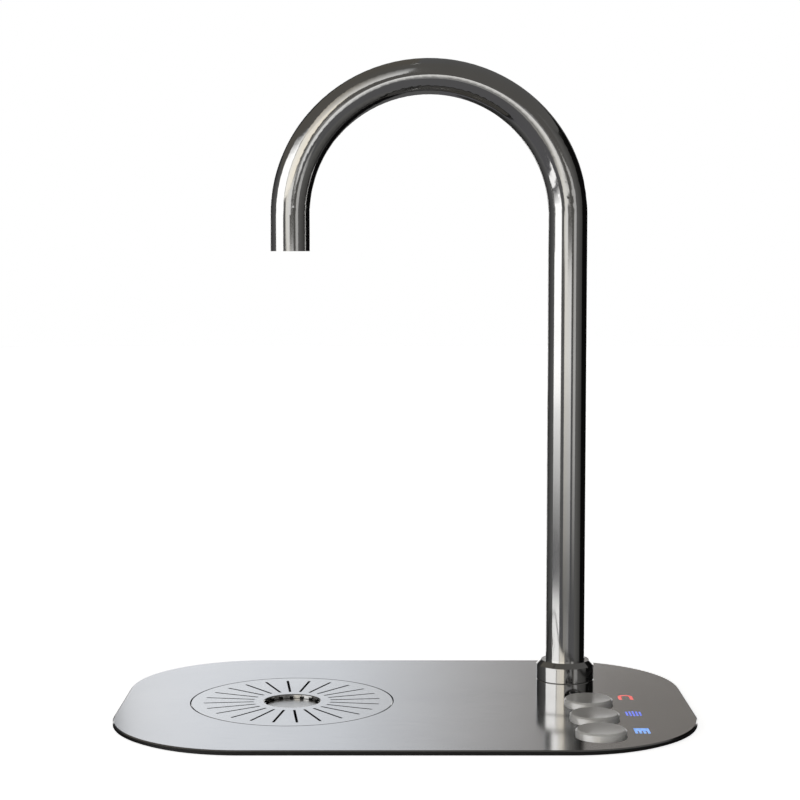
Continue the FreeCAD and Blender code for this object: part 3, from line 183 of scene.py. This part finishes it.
def turned(name, dark, light, roughness, centre, depth=2e-6, pitch=900, painted_wall_shade=None):
    """Metal faced on a lathe: fine rings about an upright axis, with a little haze.

    Upright walls can take a painted shade: a dark colour is mixed in where the surface stands
    upright, in place of the shade there.
    """
    made, tree, shader = blank(name)
    here = place_on_body(tree)
    parts = add(tree, "SeparateXYZ", {"Vector": here}).outputs
    across = math_node(tree, "SUBTRACT", parts["X"], centre[0])
    away = math_node(tree, "SUBTRACT", parts["Y"], centre[1])
    flat = add(tree, "CombineXYZ", {"X": across, "Y": away}).outputs[0]
    radius = add(tree, "VectorMath", {0: flat}, operation="LENGTH").outputs["Value"]
    ringed = add(tree, "CombineXYZ", {"X": radius, "Y": 0.0, "Z": parts["Z"]}).outputs[0]
    rings = noise(tree, ringed, pitch, 3.0)
    haze = noise(tree, here, 30, 3.0)
    tone = math_node(tree, "ADD", math_node(tree, "MULTIPLY", rings, 0.6),
                     math_node(tree, "MULTIPLY", haze, 0.4))
    colour = tinted(tree, tone, dark, light)
    if painted_wall_shade:
        # Painted shade: the more upright the face, the more the dark wall colour replaces the metal's
        # tone.
        facing = add(tree, "SeparateXYZ", {"Vector": add(tree, "NewGeometry").outputs["Normal"]})
        level = math_node(tree, "ABSOLUTE", facing.outputs["Z"])
        mixed = add(tree, "Mix", {0: level, 6: (*painted_wall_shade, 1)}, data_type="RGBA")
        tree.links.new(colour, mixed.inputs[7])
        colour = mixed.outputs[2]
    tree.links.new(colour, shader.inputs["Base Color"])
    uneven = between(tree, tone, roughness * 0.8, roughness * 1.25)
    tree.links.new(uneven, shader.inputs["Roughness"])
    set_shader(shader, Metallic=1.0)
    bump(tree, shader, rings, depth)
    return made


def blasted(name, dark, light, roughness, depth=6e-6, metallic=1.0):
    """Metal with an even satin grain, as from fine glass beads or a cast surface."""
    made, tree, shader = blank(name)
    here = place_on_body(tree)
    grain = noise(tree, here, 1800, 2.0)
    haze = noise(tree, here, 60, 3.0)
    tree.links.new(tinted(tree, haze, dark, light), shader.inputs["Base Color"])
    uneven = between(tree, grain, roughness * 0.85, roughness * 1.2)
    tree.links.new(uneven, shader.inputs["Roughness"])
    set_shader(shader, Metallic=metallic)
    bump(tree, shader, grain, depth)
    return made


def moulded(name, dark, light, roughness, depth=8e-6, transmission=0.0):
    """Plastic from a spark-textured mould, with flow marks."""
    made, tree, shader = blank(name)
    here = place_on_body(tree)
    texture = noise(tree, here, 1400, 3.0)
    flow = noise(tree, here, 40, 2.0, (1, 1, 3))
    tree.links.new(tinted(tree, flow, dark, light), shader.inputs["Base Color"])
    uneven = between(tree, texture, roughness * 0.8, min(1.0, roughness * 1.25))
    tree.links.new(uneven, shader.inputs["Roughness"])
    set_shader(shader, IOR=1.49, Transmission_Weight=transmission)
    bump(tree, shader, texture, depth)
    return made


def rubbery(name, dark, light, depth=1.2e-5):
    """Matt rubber with a bloom on it and a fine pebbled skin."""
    made, tree, shader = blank(name)
    here = place_on_body(tree)
    skin = noise(tree, here, 1600, 4.0, roughness=0.7)
    bloom = noise(tree, here, 70, 3.0)
    tree.links.new(tinted(tree, bloom, dark, light), shader.inputs["Base Color"])
    tree.links.new(between(tree, bloom, 0.55, 0.78), shader.inputs["Roughness"])
    set_shader(shader, IOR=1.52)
    bump(tree, shader, skin, depth)
    return made


def lit(name, edge, core, strength):
    """A moulded symbol with a lamp under it, a little uneven in its glow."""
    made, tree, shader = blank(name)
    here = place_on_body(tree)
    cloud = noise(tree, here, 420, 2.0)
    texture = noise(tree, here, 2200, 2.0)
    glow = tinted(tree, cloud, edge, core)
    tree.links.new(glow, shader.inputs["Base Color"])
    tree.links.new(glow, shader.inputs["Emission Color"])
    tree.links.new(between(tree, texture, 0.25, 0.4), shader.inputs["Roughness"])
    set_shader(shader, Emission_Strength=strength, IOR=1.5)
    bump(tree, shader, texture, 4e-6)
    return made


def laminate(name):
    """Circuit board: green solder mask over a glass weave."""
    made, tree, shader = blank(name)
    here = place_on_body(tree)
    warp = add(tree, "TexWave", {"Vector": here, "Scale": 320.0, "Distortion": 0.6},
               bands_direction="X").outputs["Fac"]
    weft = add(tree, "TexWave", {"Vector": here, "Scale": 320.0, "Distortion": 0.6},
               bands_direction="Y").outputs["Fac"]
    weave = math_node(tree, "MULTIPLY", math_node(tree, "ADD", warp, weft), 0.5)
    mottle = noise(tree, here, 90, 3.0)
    tone = math_node(tree, "MULTIPLY", math_node(tree, "ADD", weave, mottle), 0.5)
    tree.links.new(tinted(tree, tone, (0.004, 0.055, 0.02), (0.01, 0.12, 0.045)),
                   shader.inputs["Base Color"])
    tree.links.new(between(tree, mottle, 0.28, 0.42), shader.inputs["Roughness"])
    set_shader(shader, Coat_Weight=0.5, Coat_Roughness=0.15)
    bump(tree, shader, weave, 1e-5)
    return made


def centre_of(node):
    low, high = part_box(node)
    return ((low.x + high.x) / 2, (low.y + high.y) / 2)


GRILLE_CENTRE = centre_of("drip_grille")
COLUMN_CENTRE = centre_of("base_collar")

FINISHES = {
    "plate": brushed("brushed stainless plate", (0.56, 0.56, 0.565), (0.66, 0.655, 0.65), 0.13,
                     spread=0.4),
    "grille": turned("turned stainless grille", (0.6, 0.6, 0.6), (0.7, 0.7, 0.69), 0.14,
                     GRILLE_CENTRE),
    # The strainer's upright walls are painted near-black: painted shade for the dark crown inside the
    # hole; the real stainless walls would be lighter.
    "strainer": turned("turned strainer", (0.76, 0.76, 0.75), (0.84, 0.835, 0.82), 0.3,
                       GRILLE_CENTRE, 3e-7, painted_wall_shade=(0.03, 0.03, 0.03)),
    "neck": polished("polished neck", (0.66, 0.655, 0.645), (0.72, 0.715, 0.705), 0.085, 1e-7),
    "collar": polished("polished collars", (0.64, 0.635, 0.625), (0.71, 0.705, 0.695), 0.09, 3e-7),
    "button": blasted("satin buttons", (0.93, 0.92, 0.9), (0.98, 0.975, 0.96), 0.3, 1e-6,
                      metallic=0.35),
    "bowl": brushed("drawn stainless bowl", (0.4, 0.4, 0.4), (0.52, 0.515, 0.51), 0.34,
                    grain=(12, 12, 1), scale=90),
    "stiffener": blasted("galvanised stiffener", (0.36, 0.37, 0.38), (0.52, 0.53, 0.54), 0.42,
                         depth=1.5e-5),
    "clamp": blasted("zinc-plated clamp bars", (0.42, 0.42, 0.4), (0.56, 0.56, 0.53), 0.36),
    "fastener": blasted("zinc-plated fasteners", (0.46, 0.46, 0.45), (0.62, 0.62, 0.6), 0.28),
    "shank": turned("turned brass shank", (0.5, 0.37, 0.16), (0.66, 0.5, 0.24), 0.26,
                    COLUMN_CENTRE),
    "lock_nut": blasted("brass lock nut", (0.5, 0.37, 0.16), (0.64, 0.48, 0.22), 0.3),
    "spring": polished("spring wire", (0.36, 0.36, 0.37), (0.5, 0.5, 0.51), 0.2),
    "magnet": blasted("nickel-plated magnets", (0.5, 0.48, 0.44), (0.6, 0.58, 0.54), 0.2),
    "rubber": rubbery("black seal rubber", (0.008, 0.008, 0.009), (0.022, 0.022, 0.023)),
    "seal": rubbery("grey o-ring rubber", (0.02, 0.02, 0.022), (0.045, 0.045, 0.048)),
    "bush": moulded("white acetal bushes", (0.72, 0.72, 0.7), (0.82, 0.82, 0.8), 0.42),
    "bearing": moulded("bearing washer", (0.035, 0.034, 0.032), (0.06, 0.058, 0.055), 0.36),
    "waste": moulded("grey waste fitting", (0.3, 0.31, 0.32), (0.38, 0.39, 0.4), 0.4),
    "water_tube": moulded("translucent water tube", (0.72, 0.76, 0.78), (0.84, 0.87, 0.88), 0.3,
                          depth=3e-6, transmission=0.45),
    "nozzle": moulded("dark nozzle", (0.03, 0.03, 0.032), (0.06, 0.06, 0.062), 0.32),
    "hot_light": lit("red symbol", (0.75, 0.05, 0.05), (1.0, 0.2, 0.17), 0.9),
    "chilled_light": lit("blue symbol", (0.07, 0.11, 0.75), (0.2, 0.28, 1.0), 0.9),
    "sparkling_light": lit("pale blue symbol", (0.11, 0.3, 0.8), (0.3, 0.52, 1.0), 0.9),
    "housing": moulded("black housing", (0.012, 0.012, 0.013), (0.03, 0.03, 0.031), 0.45),
    "cover": moulded("charcoal cover", (0.03, 0.03, 0.032), (0.055, 0.055, 0.057), 0.5),
    "board": laminate("circuit board"),
    "chip": moulded("chip epoxy", (0.01, 0.01, 0.01), (0.03, 0.03, 0.03), 0.5, depth=4e-6),
    "lamp": lit("lamps", (0.75, 0.72, 0.6), (0.95, 0.93, 0.85), 0.3),
    "socket": moulded("socket nylon", (0.66, 0.64, 0.58), (0.78, 0.76, 0.7), 0.48),
    "contact": blasted("tinned contacts", (0.6, 0.6, 0.58), (0.74, 0.74, 0.72), 0.24),
}


def repaint():
    """Every CAD node takes the detailed finish of the slot it was packed with.

    The symbols and the buttons are left out of reflections: the plate shows neither.
    """
    for node in frame["nodes"].values():
        for slot in node.material_slots:
            slot.material = FINISHES[slot.material.name.split(".")[0]]
    for kind in KINDS:
        frame["nodes"][f"{kind}_icon_lens"].visible_glossy = False
        frame["nodes"][f"{kind}_button_cap"].visible_glossy = False


def compress_springs():
    """A sprung copy stands in for each return spring and the packed one is hidden; nothing here
    shortens it as its button goes down.

    Its foot stays on the guide, which belongs to the base.
    """
    for joint in frame["joints"]:
        for spring in joint.get("deforming_nodes", []):
            packed = frame["nodes"][spring["node"]]
            made = bpy.data.objects.new(f"{spring['node']}_sprung", packed.data.copy())
            bpy.context.scene.collection.objects.link(made)
            made.matrix_world = packed.matrix_world
            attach(made, "base")
            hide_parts(spring["node"])
            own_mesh(made)


# ---- stage ----

def direction(heading, elevation):
    """Heading 0 is towards the camera, growing towards +X; both in degrees."""
    h, e = math.radians(heading), math.radians(elevation)
    return (math.sin(h) * math.cos(e), -math.cos(h) * math.cos(e), math.sin(e))


def glowing(name, stops, low, high):
    """A card's light: a blend of colours across it, and a blend of strengths up it."""
    made = bpy.data.materials.new(name)
    made.use_nodes = True
    tree = made.node_tree
    tree.nodes.clear()
    place = add(tree, "SeparateXYZ", {"Vector": add(tree, "UVMap").outputs["UV"]}).outputs
    ramp = add(tree, "ValToRGB", {"Fac": place["X"]})
    points = ramp.color_ramp.elements
    while len(points) < len(stops):
        points.new(0.5)
    for index, colour in enumerate(stops):
        points[index].position = index / max(1, len(stops) - 1)
        points[index].color = (*colour, 1)
    strength = between(tree, place["Y"], low, high)
    lamp = add(tree, "Emission", {"Color": ramp.outputs["Color"], "Strength": strength})
    end = add(tree, "OutputMaterial")
    tree.links.new(lamp.outputs[0], end.inputs["Surface"])
    return made


def add_mesh(name, corners, faces, material):
    mesh = bpy.data.meshes.new(name)
    mesh.from_pydata(corners, [], faces)
    mesh.materials.append(material)
    made = bpy.data.objects.new(name, mesh)
    bpy.context.scene.collection.objects.link(made)
    return made


def card(name, headings, elevations, stops, low=1.0, high=None, reach=PANEL_REACH):
    """A curved light panel on a sphere about the plate, seen only in reflections."""
    wide = max(2, round(abs(headings[1] - headings[0]) / PANEL_FACET))
    tall = max(2, round(abs(elevations[1] - elevations[0]) / PANEL_FACET))
    corners, places = [], []
    for j in range(tall + 1):
        elevation = elevations[0] + (elevations[1] - elevations[0]) * j / tall
        for i in range(wide + 1):
            heading = headings[0] + (headings[1] - headings[0]) * i / wide
            corners.append([reach * part for part in direction(heading, elevation)])
            places.append((i / wide, j / tall))
    faces = []
    for j in range(tall):
        for i in range(wide):
            first = j * (wide + 1) + i
            faces.append((first, first + 1, first + wide + 2, first + wide + 1))
    made = add_mesh(name, corners, faces, glowing(name, stops, low, low if high is None else high))
    layer = made.data.uv_layers.new(name="UVMap")
    for loop in made.data.loops:
        layer.data[loop.index].uv = places[loop.vertex_index]
    made.visible_camera = False
    made.visible_shadow = False


WHITE = (1, 1, 1)
CREAM = (1.0, 0.97, 0.9)
BEIGE = (1.0, 0.93, 0.8)
GREY = (1.0, 0.985, 0.96)


def build_studio():
    """A dim tent with a white backdrop, and the panels that draw the highlights."""
    card("tent above", (-180, 180), (0, 89), [BEIGE], 0.105, reach=TENT_REACH)
    card("tent below", (-180, 180), (-89, 0), [(0.93, 0.92, 1.0)], 0.11, reach=TENT_REACH)
    card("right flag", (88, 146), (-60, 34), [GREY], 0.004)
    card("side wall", (49, 88), (-60, 34), [GREY, (0.45, 0.445, 0.43)], 0.13)
    card("left flag", (-170, -142), (-50, 34), [GREY], 0.03)
    card("left wall", (-142, -89), (-50, 22), [(0.3, 0.3, 0.3), WHITE], 0.13)
    card("softbox", (-88, -40), (-2.5, 27), [WHITE], 1.5)
    card("softbox top", (-86, -42), (27, 38), [WHITE], 1.5, 0.12)
    card("softbox skirt", (-88, -40), (-7.5, -2.5), [WHITE], 0.22, 1.1)
    card("left table", (-88, -40), (-16.5, -9.8), [WHITE], 1.3)
    card("softbox gap", (-39.8, -27), (-9, 9), [GREY], 0.11)
    card("front wall", (-20, 20), (-1.0, 3.0), [CREAM], 0.93)
    card("front skirt", (-20, 20), (-10, -1.0), [CREAM], 0.17, 0.9)
    card("front table", (-16, 14), (-16.0, -10.2), [CREAM], 0.3)
    card("warm panel", (-38, -7), (9.2, 30), [CREAM, BEIGE], 1.25, 1.05)
    card("warm corner", (-26, -3), (3.0, 9.0), [CREAM], 0.9)
    card("high panel", (-44, 6), (30, 62), [BEIGE], 0.85, 0.12, reach=HIGH_REACH)
    card("right strip", (-2.5, 24), (8.5, 17), [GREY], 0.3)
    card("strip skirt", (32, 47), (-9.5, -4), [GREY], 0.1, 0.5)
    card("strip", (32, 47), (-4, 14), [GREY], 0.52)
    card("backdrop", (150, 210), (-14, 9.2), [WHITE], 1.25)
    card("back gradient", (162, 198), (9.5, 21),
         [(0.2, 0.185, 0.17), (0.2, 0.185, 0.17), (0.245, 0.23, 0.215), (0.5, 0.5, 0.505),
          (0.8, 0.83, 0.88), (0.92, 0.95, 1.0), (0.97, 0.98, 1.0), (1.0, 1.0, 1.02)])


def plate_outline(grown, height=0.0):
    """The plate's outline, made larger or smaller all round."""
    low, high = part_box("base_plate")
    centre = ((low.x + high.x) / 2, (low.y + high.y) / 2)
    corner = PLATE_CORNER + grown
    half = ((high.x - low.x) / 2 + grown - corner, (high.y - low.y) / 2 + grown - corner)
    points = []
    for quarter, (sx, sy) in enumerate(((1, 1), (-1, 1), (-1, -1), (1, -1))):
        for step in range(CORNER_STEPS + 1):
            turn = math.radians(90 * quarter + 90 * step / CORNER_STEPS)
            points.append((centre[0] + sx * half[0] + corner * math.cos(turn),
                           centre[1] + sy * half[1] + corner * math.sin(turn), height))
    return points


def flat_ring(name, inner, outer, material):
    count = len(inner)
    faces = [(i, count + i, count + (i + 1) % count, (i + 1) % count) for i in range(count)]
    return add_mesh(name, inner + outer, faces, material)


def build_worktop():
    """A pale worktop that the plate lies on, cut out below the plate, and a black ring of painted
    shade round it, seen only in reflections.
    """
    made, tree, shader = blank("pale worktop")
    speckle = noise(tree, place_on_body(tree), 25, 4.0)
    tree.links.new(tinted(tree, speckle, (0.9, 0.9, 0.9), (0.93, 0.93, 0.93)),
                   shader.inputs["Base Color"])
    set_shader(shader, Roughness=0.7, Emission_Color=(1, 1, 1, 1), Emission_Strength=0.85)
    worktop = flat_ring("worktop", plate_outline(-CUT_INSIDE), plate_outline(WORKTOP_MARGIN), made)
    worktop.visible_glossy = False
    # Painted shade: a black ring seen only in reflections stands in for the shadow under the plate's
    # edge; it is no real joint.
    joint, tree, shader = blank("painted shade ring")
    set_shader(shader, Base_Color=(0.01, 0.01, 0.01, 1), Roughness=0.8)
    inner = plate_outline(-SHADE_RING_INSIDE, SHADE_RING_HEIGHT)
    outer = plate_outline(SHADE_RING_WIDTH, SHADE_RING_HEIGHT)
    shade_ring = flat_ring("joint", inner, outer, joint)
    shade_ring.visible_camera = False
    shade_ring.visible_shadow = False
    shade_ring.visible_diffuse = False


def build_camera():
    scene = bpy.context.scene
    lens = bpy.data.cameras.new("camera")
    lens.lens = CAMERA_LENS
    lens.sensor_width = CAMERA_SENSOR
    lens.clip_end = CAMERA_FAR
    camera = bpy.data.objects.new("camera", lens)
    camera.location = CAMERA_PLACE
    camera.rotation_euler = (math.radians(CAMERA_TILT), 0, 0)
    scene.collection.objects.link(camera)
    scene.camera = camera


def set_world():
    scene = bpy.context.scene
    world = bpy.data.worlds.new("white room")
    world.use_nodes = True
    world.node_tree.nodes["Background"].inputs["Color"].default_value = (1, 1, 1, 1)
    scene.world = world
    scene.view_settings.view_transform = "Standard"


repaint()
compress_springs()
build_studio()
build_worktop()
build_camera()
set_world()
